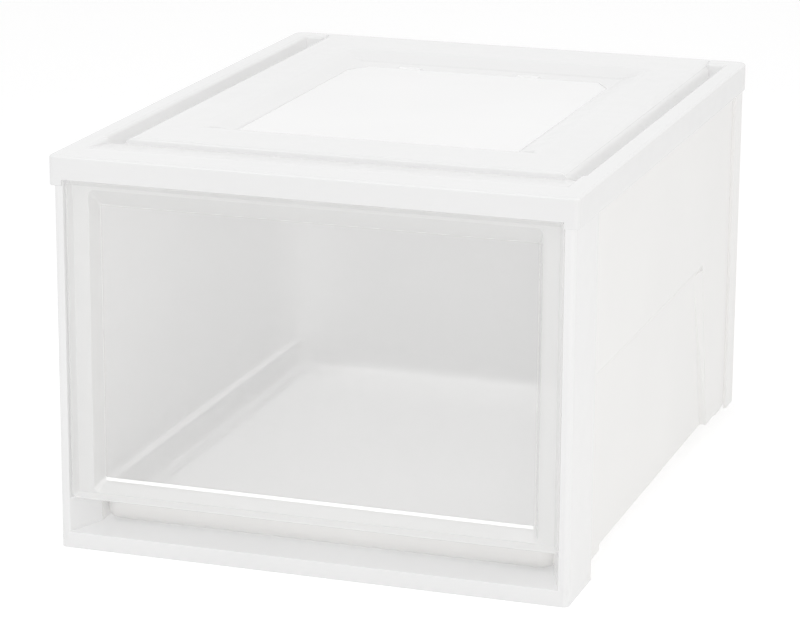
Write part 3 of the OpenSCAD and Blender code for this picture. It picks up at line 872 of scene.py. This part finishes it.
@dataclass(frozen=True)
class Tray:
    """The see-through tray: a low tub that runs between the cheeks, a step and wider walls with a rim.

    Args:
        tub_half: Half of the width of the tub.
        wall_half: Half of the width over the walls.
        rim: How far the rim stands out.
        start: Depth at which the step and the walls begin.
        tub_start: Depth at which the tub begins.
        end: Depth at which it all ends.
        floor: Height of the tub's underside.
        step: Height of the step's underside.
        top: Height of the rim's upper face.
        thick: Wall thickness.
        corner: Plan radius of the rear corners.
        ear: Length, height and width of the rear ears.
        flat: How far the floor's flat part stands off the tub's walls.
        bead: Radius of the bead under the rim, and how far in from the rim's edge it lies.
    """

    tub_half: float = 173.0
    wall_half: float = 179.9
    rim: float = 3.4
    start: float = 21.2
    tub_start: float = 34.5
    end: float = 458.0
    floor: float = 14.0
    step: float = 38.5
    top: float = 262.0
    thick: float = 2.2
    corner: float = 12.0
    ear: tuple[float, float, float] = (10.0, 20.0, 3.2)
    flat: float = 12.0
    bead: Point = (0.7, 0.8)

    def build(self) -> list[bpy.types.Object]:
        """Builds the tray and the bead under its rim.

        Returns:
            The pieces.
        """
        bm = bmesh.new()
        closed_loft(bm, self._tub_rings(), Lie.FLAT, 8)
        self._walls(bm)
        length, height, width = self.ear
        for side in (-1, 1):
            x = sorted((side * (self.wall_half - 0.5), side * (self.wall_half + width)))
            plan = box_outline((x[0], self.end - length), (x[1], self.end))
            prism(bm, plan, self.step, self.step + height, Lie.FLAT, 0.5)
        shell = finish_piece("drawer_tray_shell", closed_mesh(bm), Body.DRAWER, TRAY_CLEAR,
                             ["drawer_tray"])
        radius, inset = self.bead
        reach, rear = self.wall_half + self.rim - inset, self.end + self.rim - inset
        route = [(-reach, self.start), (-reach, rear), (reach, rear), (reach, self.start)]
        path = [Lie.FLAT.place(x, y, self.top - self.thick) for x, y in route]
        bead = BeadTree().make(path, self.corner * MM, radius * MM, TRAY_CLEAR)
        return [shell, finish_piece("drawer_rim_bead", bead, Body.DRAWER, TRAY_CLEAR)]

    def _tub_rings(self) -> list[Ring]:
        """Rings of the tub, from its underside round to the inside of its floor.

        Returns:
            The rings in order.
        """
        t, half, flat = self.thick, self.tub_half, self.flat
        y0, y1, step = self.tub_start, self.end, self.step
        return [Ring(-half + flat, half - flat, y0 + flat, y1 - flat, self.floor, 6.0),
                Ring(-half, half, y0, y1, self.floor, self.corner, 7.0),
                Ring(-half, half, y0, y1, step, self.corner, 0.5),
                Ring(-self.wall_half, self.wall_half, self.start, y1, step, 4.0, 0.5),
                Ring(-self.wall_half, self.wall_half, self.start, y1, step + t, 4.0, 0.5),
                Ring(-half + t, half - t, y0 + t, y1 - t, step + t, self.corner - t, 1.6),
                Ring(-half + t, half - t, y0 + t, y1 - t, self.floor + t, self.corner - t, 5.0),
                Ring(-half + flat, half - flat, y0 + flat, y1 - flat, self.floor + t, 4.0)]

    def _walls(self, bm: bmesh.types.BMesh) -> None:
        """Adds the two side walls and the rear wall as one run along a path.

        Args:
            bm: Mesh that takes the faces.
        """
        t, r = self.thick, self.corner - self.thick
        half, rear = self.wall_half - t, self.end - t
        route = [((-half, self.start), (-1.0, 0.0))]
        for middle, begin in (((-half + r, rear - r), 180), ((half - r, rear - r), 90)):
            for i in range(9):
                turn = math.radians(begin - 90 * i / 8)
                normal = (math.cos(turn), math.sin(turn))
                route.append(((middle[0] + r * normal[0], middle[1] + r * normal[1]), normal))
        route.append(((half, self.start), (1.0, 0.0)))
        low, high, out = self.step + t / 2, self.top, t + self.rim
        section = [(0, low), (0, high - 0.8), (0.25, high - 0.2), (0.8, high), (out - 0.8, high),
                   (out - 0.2, high - 0.2), (out, high - 0.8), (out, high - t + 0.3), (out - 0.3, high - t),
                   (t + 0.8, high - t), (t + 0.2, high - t - 0.2), (t, high - t - 0.8), (t, low)]
        rows = [[bm.verts.new(Lie.FLAT.place(x + nx * o, y + ny * o, z)) for o, z in section]
                for (x, y), (nx, ny) in route]
        join_rows(bm, rows)
        bm.faces.new(rows[0])
        bm.faces.new(rows[-1])


# ---- Case ----

NICK = 0.01
INSIDE = 0.1
LIP_STEPS = (0.0, 0.02, 0.08, 0.18, 0.33, 0.52, 0.75, 1.0)
SLOPE_STEPS = (-0.2, -0.1, 0, 0.1, 0.2, 0.5, 0.8, 1.0)
START_STEPS = (-0.05, -0.02, 0.0, 0.02, 0.05, 0.3, 0.6, 0.85)


@dataclass(frozen=True)
class CapMoulding:
    """The clip-on top: skirt, fascia, dip, plateau, stacking slots, sunken field and the window's seat.

    Args:
        half: Half of its width.
        top: Height of its upper face.
        wall: Its wall thickness.
        skirt: Height of the skirt's lower edge.
        hem: Radius of that edge.
        fascia: Height of the fascia's lower edge, and half of the width over which it is lifted.
        corners: Plan radius of the front and of the rear corners.
        brow: Radius of the upper edge.
        slot: Inner and outer edge of the slots.
        slot_run: Depth at which the slots begin and end.
        slot_floor: Height of their floor.
        slot_lips: Radius of their inner and outer lips.
        dip_half: Half of the width of the dip.
        dip_run: Depth at which the dip begins and ends.
        dip_drop: Its depth at the end.
        dip_lip: Radius of the edge over the end of the dip.
        field_half: Half of the width of the sunken field.
        field_run: Depth at which it begins and ends.
        field_drop: How deep it lies.
        field_slope: Width of its sloped edges.
        window_half: Half of the width of the window's seat.
        window_run: Depth at which the seat begins and ends.
        window_cut: Width and length of the cut at the seat's rear corners.
        window_t: Thickness of the window.
        lap: How far the window laps its opening.
        notches: Place of the notches for the window's tabs.
        notch: Half of their width, and their length.
        margin: Distance from the outer edge to the part of the top that is drawn as a grid.
        claws: Depth of the first claw, and the distance to the next.
        claw: Width, length and height of a claw.
        claw_z: Height of the claws' underside.
    """

    half: float = 196.0
    top: float = 295.0
    wall: float = 2.2
    skirt: float = 273.0
    hem: float = 0.4
    fascia: Point = (277.5, 185.9)
    corners: Point = (4.0, 9.0)
    brow: float = 1.8
    slot: Point = (168.0, 181.0)
    slot_run: Point = (70.0, 492.0)
    slot_floor: float = 282.0
    slot_lips: Point = (8.0, 2.5)
    dip_half: float = 178.5
    dip_run: Point = (30.0, 72.2)
    dip_drop: float = 5.0
    dip_lip: float = 2.2
    field_half: float = 128.0
    field_run: Point = (126.0, 450.0)
    field_drop: float = 5.5
    field_slope: float = 18.5
    window_half: float = 109.0
    window_run: Point = (145.0, 411.5)
    window_cut: Point = (12.0, 20.0)
    window_t: float = 2.0
    lap: float = 5.0
    notches: Point = (-62.0, 38.0)
    notch: Point = (9.3, 3.0)
    margin: float = 8.0
    claws: Point = (110.0, 135.0)
    claw: tuple[float, float, float] = (3.4, 16.0, 5.0)
    claw_z: float = 275.0

    def build(self) -> list[bpy.types.Object]:
        """Builds the moulding and its claws.

        Returns:
            The pieces.
        """
        bm = bmesh.new()
        upper, lower = self._skirt(bm)
        self._face(bm, 0.0, upper, self._seat_outline(0.0), self.window_t)
        self._face(bm, self.wall, lower, self._seat_outline(self.wall), self.window_t)
        self._close_opening(bm)
        cap = finish_piece("top_cap_moulding", closed_mesh(bm), Body.CASE, CAP_WHITE,
                           ["top_cap"])
        coat_outside(cap, CAP_OUTER, Vector((0, 0, 1)))
        pieces = [cap]
        row = RowTree()
        width, _, height = self.claw
        for name, side in (("left", -1), ("right", 1)):
            x = side * (self.half - self.wall - width / 2)
            start = Lie.FLAT.place(x, self.claws[0], self.claw_z + height / 2)
            mesh = row.make(3, start, Vector((0, self.claws[1], 0)) * MM, Vector(self.claw) * MM, CAP_WHITE)
            pieces.append(finish_piece("cap_claws_" + name, mesh, Body.CASE, CAP_WHITE))
        return pieces

    def _plan(self, inset: float) -> list[Point]:
        """Outline of the cap, drawn in by an inset, with points where the fascia's notch begins and ends.

        Args:
            inset: How far it is drawn in.

        Returns:
            The points in order.
        """
        x, y0, y1 = self.half - inset, inset, CASE_D - inset
        near, far = (max(r - inset, 0.4) for r in self.corners)
        turns = [math.radians(90 * i / 6) for i in range(7)]
        notch = self.fascia[1]
        front = [(x0, y0) for x0 in (-notch - NICK, -notch + NICK, notch - NICK, notch + NICK)]
        right = [(x - near + near * math.sin(t), y0 + near - near * math.cos(t)) for t in turns]
        right += [(x - far + far * math.cos(t), y1 - far + far * math.sin(t)) for t in turns]
        left = [(-u, v) for u, v in reversed(right)]
        return front + right + left

    def _skirt(self, bm: bmesh.types.BMesh) -> tuple[list[bmesh.types.BMEdge], list[bmesh.types.BMEdge]]:
        """Adds the skirt with its rounded upper edge.

        Args:
            bm: Mesh that takes the faces.

        Returns:
            The edges that bound the upper face, and those that bound the under face.
        """
        r, hem = self.brow, self.hem
        turns = [math.radians(90 * i / 5) for i in range(6)]
        stations = [(r - r * math.sin(t), self.top - r + r * math.cos(t)) for t in turns]
        stations += [(0.0, self.skirt + hem), (hem, self.skirt), (self.wall - hem, self.skirt),
                     (self.wall, self.skirt + hem), (self.wall, self.top - self.wall)]
        lift = self.fascia[0] - self.skirt
        rows = []
        for inset, z in stations:
            low = z < self.skirt + 1
            plan = [(x, y, z + (lift if low and self._notched(x, y) else 0.0)) for x, y in self._plan(inset)]
            rows.append([bm.verts.new(Lie.FLAT.place(*point)) for point in plan])
        join_rows(bm, rows)
        return row_edges(bm, rows[0]), row_edges(bm, rows[-1])

    def _notched(self, x: float, y: float) -> bool:
        """Whether the skirt's lower edge is lifted at a place."""
        return abs(x) < self.fascia[1] and y < self.margin

    def _face(self, bm: bmesh.types.BMesh, grow: float, border: list[bmesh.types.BMEdge], seat: list[Point],
              depth: float) -> None:
        """Adds the upper face, or the under face, with the step down to the window's seat.

        Args:
            bm: Mesh that takes the faces.
            grow: Wall thickness for the under face, 0 for the upper face.
            border: Edges of the skirt that bound the face.
            seat: Outline of the seat.
            depth: How deep the seat lies under the field.
        """
        across = self._lines_across(grow)
        across = sorted({*across, *(-v for v in across)})
        along = self._lines_along(grow)
        grid = [[bm.verts.new(Lie.FLAT.place(x, y, self._height(abs(x), y, grow))) for x in across]
                for y in along]
        reach = self.field_half + grow - self.field_slope
        begin = self.field_run[0] - grow + self.field_slope
        end = self.field_run[1] + grow - self.field_slope
        faces = []
        for j in range(len(along) - 1):
            for i in range(len(across) - 1):
                inside = begin < (along[j] + along[j + 1]) / 2 < end
                if not (inside and abs(across[i] + across[i + 1]) / 2 < reach):
                    corners = (grid[j][i], grid[j][i + 1], grid[j + 1][i + 1], grid[j + 1][i])
                    faces.append(bm.faces.new(corners))
        rims = {e for f in faces for e in f.edges if len(e.link_faces) == 1}
        limit_x, limit_y = ((side - self.margin - INSIDE) * MM for side in (self.half, CASE_D / 2))
        outer = [e for e in rims if max(abs(v.co.x) for v in e.verts) > limit_x
                 or max(abs(v.co.y) for v in e.verts) > limit_y]
        inner = [e for e in rims if e not in set(outer)]
        level = self.top - grow - self.field_drop
        rows = [[bm.verts.new(Lie.FLAT.place(x, y, z)) for x, y in seat] for z in (level, level - depth)]
        join_rows(bm, rows)
        ledge, floor = (row_edges(bm, row) for row in rows)
        hatch = self._loop(bm, self._seat_outline(-self.lap, False), level - depth)
        for edges in (border + outer, inner + ledge, floor + hatch):
            bmesh.ops.triangle_fill(bm, use_beauty=True, edges=edges, normal=(0, 0, 1))

    def _loop(self, bm: bmesh.types.BMesh, outline: Sequence[Point], z: float) -> list[bmesh.types.BMEdge]:
        """Adds a closed loop of edges at one height."""
        verts = [bm.verts.new(Lie.FLAT.place(x, y, z)) for x, y in outline]
        return [bm.edges.new((a, b)) for a, b in zip(verts, verts[1:] + verts[:1])]

    def _close_opening(self, bm: bmesh.types.BMesh) -> None:
        """Adds the wall of the opening under the window, between the two faces.

        Args:
            bm: Mesh that takes the faces.
        """
        outline = self._seat_outline(-self.lap, False)
        level = self.top - self.field_drop - self.window_t
        rows = [[bm.verts.new(Lie.FLAT.place(x, y, z)) for x, y in outline]
                for z in (level, level - self.wall)]
        join_rows(bm, rows)

    def _seat_outline(self, grow: float, notched: bool = True) -> list[Point]:
        """Outline of the window's seat, grown by an amount.

        Args:
            grow: How much it is grown.
            notched: Whether it has the notches for the tabs.

        Returns:
            Its points.
        """
        x, y0, y1 = self.window_half + grow, self.window_run[0] - grow, self.window_run[1] + grow
        cut_x, cut_y = self.window_cut
        slip = grow * (math.hypot(cut_x, cut_y) - cut_y) / cut_x
        lean = grow * (math.hypot(cut_x, cut_y) - cut_x) / cut_y
        points = [(-x, y0), (x, y0), (x, self.window_run[1] - cut_y + slip),
                  (self.window_half - cut_x + lean, y1)]
        if notched and grow == 0:
            reach, length = self.notch
            for place in sorted(self.notches, reverse=True):
                points += [(place + reach, y1), (place + reach, y1 + length), (place - reach, y1 + length),
                           (place - reach, y1)]
        return points + [(-self.window_half + cut_x - lean, y1), (-x, self.window_run[1] - cut_y + slip)]

    def _height(self, x: float, y: float, grow: float) -> float:
        """Height of the upper face, or of the under face if the hollows are grown by the wall.

        Args:
            x: Distance from the middle.
            y: Depth.
            grow: Wall thickness for the under face, 0 for the upper face.

        Returns:
            The height.
        """
        hollows = (self._slot_height, self._dip_height, self._field_height)
        return min(height(x, y, grow) for height in hollows)

    def _slot_height(self, x: float, y: float, grow: float) -> float:
        """Height that the slots leave at a place.

        Args:
            x: Distance from the middle.
            y: Depth.
            grow: Wall thickness for the under face, 0 for the upper face.

        Returns:
            The height.
        """
        inner = self.slot[0] - grow - x
        others = max(x - self.slot[1] - grow, self.slot_run[0] - grow - y, y - self.slot_run[1] - grow)
        if max(inner, others) < -INSIDE:
            return self.slot_floor - grow
        falls = 0.0
        if grow == 0:
            falls = self._lip(max(inner, others), self.slot_lips[0 if inner >= others else 1])
        return self.top - grow - falls

    def _dip_height(self, x: float, y: float, grow: float) -> float:
        """Height that the dip leaves at a place.

        Args:
            x: Distance from the middle.
            y: Depth.
            grow: Wall thickness for the under face, 0 for the upper face.

        Returns:
            The height.
        """
        share = (y - self.dip_run[0] + grow) / (self.dip_run[1] - self.dip_run[0])
        drop = self.dip_drop * self._ease(share, 0.05)
        away = max(x - self.dip_half - grow, y - self.dip_run[1] - grow)
        if away < -INSIDE:
            return self.top - grow - drop
        return self.top - grow - (min(self._lip(away, self.dip_lip), drop * 0.8) if grow == 0 else 0.0)

    def _field_height(self, x: float, y: float, grow: float) -> float:
        """Height that the sunken field leaves at a place.

        Args:
            x: Distance from the middle.
            y: Depth.
            grow: Wall thickness for the under face, 0 for the upper face.

        Returns:
            The height.
        """
        inside = min(self.field_half + grow - x, y - self.field_run[0] + grow, self.field_run[1] + grow - y)
        return self.top - grow - self.field_drop * min(self._ease(inside / self.field_slope, 0.2), 1.0)

    @staticmethod
    def _lip(away: float, radius: float) -> float:
        """How far a rounded lip has fallen at a distance from its hollow's wall.

        Args:
            away: Distance from the wall.
            radius: Radius of the lip.

        Returns:
            The fall.
        """
        if away >= radius:
            return 0.0
        return radius - math.sqrt(radius ** 2 - (radius - max(away, 0.0)) ** 2)

    @staticmethod
    def _ease(share: float, soft: float) -> float:
        """A straight rise from 0 to 1, with a soft start.

        Args:
            share: Share of the way.
            soft: Share over which it starts, to either side of 0.

        Returns:
            The share risen.
        """
        if share <= -soft:
            return 0.0
        return (share + soft) ** 2 / (4 * soft) if share < soft else share

    @staticmethod
    def _lip_lines(edge: float, radius: float) -> list[float]:
        """Grid lines over a lip and one inside its hollow; a lip before its edge has a negative radius."""
        return [edge + radius * e for e in LIP_STEPS] + [edge - math.copysign(2 * INSIDE, radius)]

    def _lines_across(self, grow: float) -> list[float]:
        """Grid lines to one side of the middle, thickest where the surface turns.

        Args:
            grow: Wall thickness for the under face, 0 for the upper face.

        Returns:
            Their distances from the middle, in order.
        """
        field = [self.field_half + grow - e * self.field_slope for e in SLOPE_STEPS]
        inner = self._lip_lines(self.slot[0] - grow, -self.slot_lips[0])
        outer = self._lip_lines(self.slot[1] + grow, self.slot_lips[1])
        dip = self._lip_lines(self.dip_half + grow, self.dip_lip)
        return sorted({*field, *inner, *outer, *dip, self.half - self.margin})

    def _lines_along(self, grow: float) -> list[float]:
        """Grid lines from front to rear, thickest where the surface turns.

        Args:
            grow: Wall thickness for the under face, 0 for the upper face.

        Returns:
            Their depths, in order.
        """
        run = self.dip_run[1] - self.dip_run[0]
        start = [self.dip_run[0] - grow + run * e for e in START_STEPS]
        wall = self._lip_lines(self.dip_run[1] + grow, self.dip_lip)
        front = self._lip_lines(self.slot_run[0] - grow, -self.slot_lips[1])
        rear = self._lip_lines(self.slot_run[1] + grow, self.slot_lips[1])
        near = [self.field_run[0] - grow + self.field_slope * e for e in SLOPE_STEPS]
        far = [self.field_run[1] + grow - self.field_slope * e for e in SLOPE_STEPS]
        return sorted({self.margin, CASE_D - self.margin, *start, *wall, *front, *rear, *near, *far})


ABOVE_FEET = 11.9
CASE_MOULDINGS = (
    MouldedNode("top_window", WINDOW_FROST, "window_frosted", (SoftEdge(*EVERYWHERE, 0.35, segments=2),)),
    MouldedNode("front_frame", CASE_WHITE, "case_white",
                (SoftEdge((-400.0, -400.0, ABOVE_FEET), EVERYWHERE[1], 0.4),), outer=CASE_OUTER, least=-0.3),
    MouldedNode("side_panel_left", PANEL_WHITE, "panel_white", (), math.radians(1), PANEL_OUTER),
    MouldedNode("side_panel_right", PANEL_WHITE, "panel_white", (), math.radians(1), PANEL_OUTER),
    MouldedNode("back_panel", PANEL_WHITE, "panel_white", (SoftEdge(*EVERYWHERE, 0.4, segments=2),)),
)


# ---- Stage, light and camera ----

SENSOR = 36.0
LAMPS_AIM = Vector((0, 0, 0.15))


@dataclass(frozen=True)
class Viewpoint:
    """Where the camera stands and where it looks.

    Args:
        place: The camera's place, in metres.
        azimuth: Turn of the view to the right of straight ahead, in degrees.
        elevation: Tilt of the view above level, in degrees.
        roll: Turn about the line of sight, in degrees.
        focal: Focal length as a share of the picture's width.
    """

    place: tuple[float, float, float] = (0.766, -2.328, 0.809)
    azimuth: float = -18.58
    elevation: float = -15.63
    roll: float = 0.33
    focal: float = 4.09

    def build(self) -> bpy.types.Object:
        """Creates the camera.

        Returns:
            The camera object.
        """
        azimuth, elevation, roll = (math.radians(v) for v in (self.azimuth, self.elevation, self.roll))
        ahead = Vector((math.sin(azimuth) * math.cos(elevation), math.cos(azimuth) * math.cos(elevation),
                        math.sin(elevation)))
        right = ahead.cross(Vector((0, 0, 1))).normalized()
        up = right.cross(ahead)
        turned_right = right * math.cos(roll) + up * math.sin(roll)
        turned_up = up * math.cos(roll) - right * math.sin(roll)
        data = bpy.data.cameras.new("view")
        data.sensor_width = SENSOR
        data.lens = SENSOR * self.focal
        camera = bpy.data.objects.new("view", data)
        camera.matrix_world = (Matrix.Translation(Vector(self.place))
                               @ Matrix((turned_right, turned_up, -ahead)).transposed().to_4x4())
        bpy.context.collection.objects.link(camera)
        bpy.context.scene.camera = camera
        return camera


@dataclass(frozen=True)
class SoftBox:
    """A square lamp that looks at the object.

    Args:
        name: Name of the lamp.
        azimuth: Where it stands, in degrees to the right of straight in front.
        elevation: How high it stands, in degrees.
        distance: How far it stands off, in metres.
        size: Width and height, in metres.
        glow: Radiance of its face.
        tint: Colour of its light.
    """

    name: str
    azimuth: float
    elevation: float
    distance: float
    size: Point
    glow: float
    tint: Colour = (1.0, 1.0, 1.0)

    def build(self) -> bpy.types.Object:
        """Creates the lamp.

        Returns:
            The lamp object.
        """
        azimuth, elevation = math.radians(self.azimuth), math.radians(self.elevation)
        way = Vector((math.sin(azimuth) * math.cos(elevation), -math.cos(azimuth) * math.cos(elevation),
                      math.sin(elevation)))
        data = bpy.data.lights.new(self.name, "AREA")
        data.shape = "RECTANGLE"
        data.size, data.size_y = self.size
        data.color = self.tint
        data.energy = math.pi * self.size[0] * self.size[1] * self.glow
        lamp = bpy.data.objects.new(self.name, data)
        lamp.location = LAMPS_AIM + way * self.distance
        lamp.rotation_euler = way.to_track_quat("Z", "Y").to_euler()
        bpy.context.collection.objects.link(lamp)
        return lamp


@dataclass(frozen=True)
class Studio:
    """Pale floor, white surroundings and the lamps.

    Args:
        floor_half: Half of the floor's width, in metres.
        floor_tint: Its linear colour.
        surround: How brightly the surroundings light the object.
        lift: How much brighter the floor looks than it is.
        boxes: The lamps.
    """

    floor_half: float = 5.0
    floor_tint: Colour = (0.93, 0.93, 0.93)
    surround: float = 0.8
    lift: float = 0.19
    boxes: tuple[SoftBox, ...] = (
        SoftBox("line_light", -21.0, 30.4, 2.33, (0.85, 0.2), 8.0),
        SoftBox("top_light", 40.0, 75.0, 2.6, (1.6, 1.6), 0.8),
        SoftBox("side_light", 68.0, 18.0, 2.6, (1.3, 1.3), 1.2, (1.0, 0.97, 0.935)),
    )

    def build(self) -> None:
        """Creates the floor, the surroundings and the lamps."""
        bm = bmesh.new()
        reach = self.floor_half
        bm.faces.new([bm.verts.new((x, y, 0)) for x, y in
                      ((-reach, -reach), (reach, -reach), (reach, reach), (-reach, reach))])
        mesh = bpy.data.meshes.new("floor")
        bm.to_mesh(mesh)
        bm.free()
        mesh.materials.append(self._floor_finish())
        floor = bpy.data.objects.new("floor", mesh)
        bpy.context.collection.objects.link(floor)
        self._surround()
        for box in self.boxes:
            box.build()

    def _floor_finish(self) -> bpy.types.Material:
        """Makes the floor's material, which shows paler than it lights and keeps the object's shadow.

        Returns:
            The material.
        """
        material = Plastic("floor_white", self.floor_tint, mottle=0.004, gloss=(0.7, 0.8)).build()
        tree = material.node_tree
        path = tree.nodes.new("ShaderNodeLightPath")
        lift = tree.nodes.new("ShaderNodeMath")
        lift.operation = "MULTIPLY"
        lift.inputs[1].default_value = self.lift
        shader = tree.nodes["Principled BSDF"]
        shader.inputs["Emission Color"].default_value = (1, 1, 1, 1)
        tree.links.new(path.outputs["Is Camera Ray"], lift.inputs[0])
        tree.links.new(lift.outputs["Value"], shader.inputs["Emission Strength"])
        return material

    def _surround(self) -> None:
        """Makes the world: white where it is seen, a little less where it lights."""
        world = bpy.data.worlds.new("surround")
        world.use_nodes = True
        bpy.context.scene.world = world
        tree = world.node_tree
        ground = tree.nodes["Background"]
        ground.inputs["Color"].default_value = (1, 1, 1, 1)
        path = tree.nodes.new("ShaderNodeLightPath")
        total = None
        for name in ("Is Camera Ray", "Is Glossy Ray", "Is Transmission Ray"):
            if total is None:
                total = path.outputs[name]
                continue
            add = tree.nodes.new("ShaderNodeMath")
            add.operation = "MAXIMUM"
            tree.links.new(total, add.inputs[0])
            tree.links.new(path.outputs[name], add.inputs[1])
            total = add.outputs["Value"]
        spread = tree.nodes.new("ShaderNodeMapRange")
        spread.inputs["To Min"].default_value = self.surround
        spread.inputs["To Max"].default_value = 1.0
        tree.links.new(total, spread.inputs["Value"])
        tree.links.new(spread.outputs["Result"], ground.inputs["Strength"])


def main() -> None:
    """Builds the camera, the pieces and the stage in order."""
    logging.basicConfig(level=logging.INFO, format="%(message)s")
    bpy.context.scene.view_settings.view_transform = "Standard"
    Viewpoint().build()
    for moulding in CASE_MOULDINGS:
        moulding.build()
    CapMoulding().build()
    DrawerFront().build()
    Tray().build()
    Studio().build()


if __name__ == "__main__":
    main()
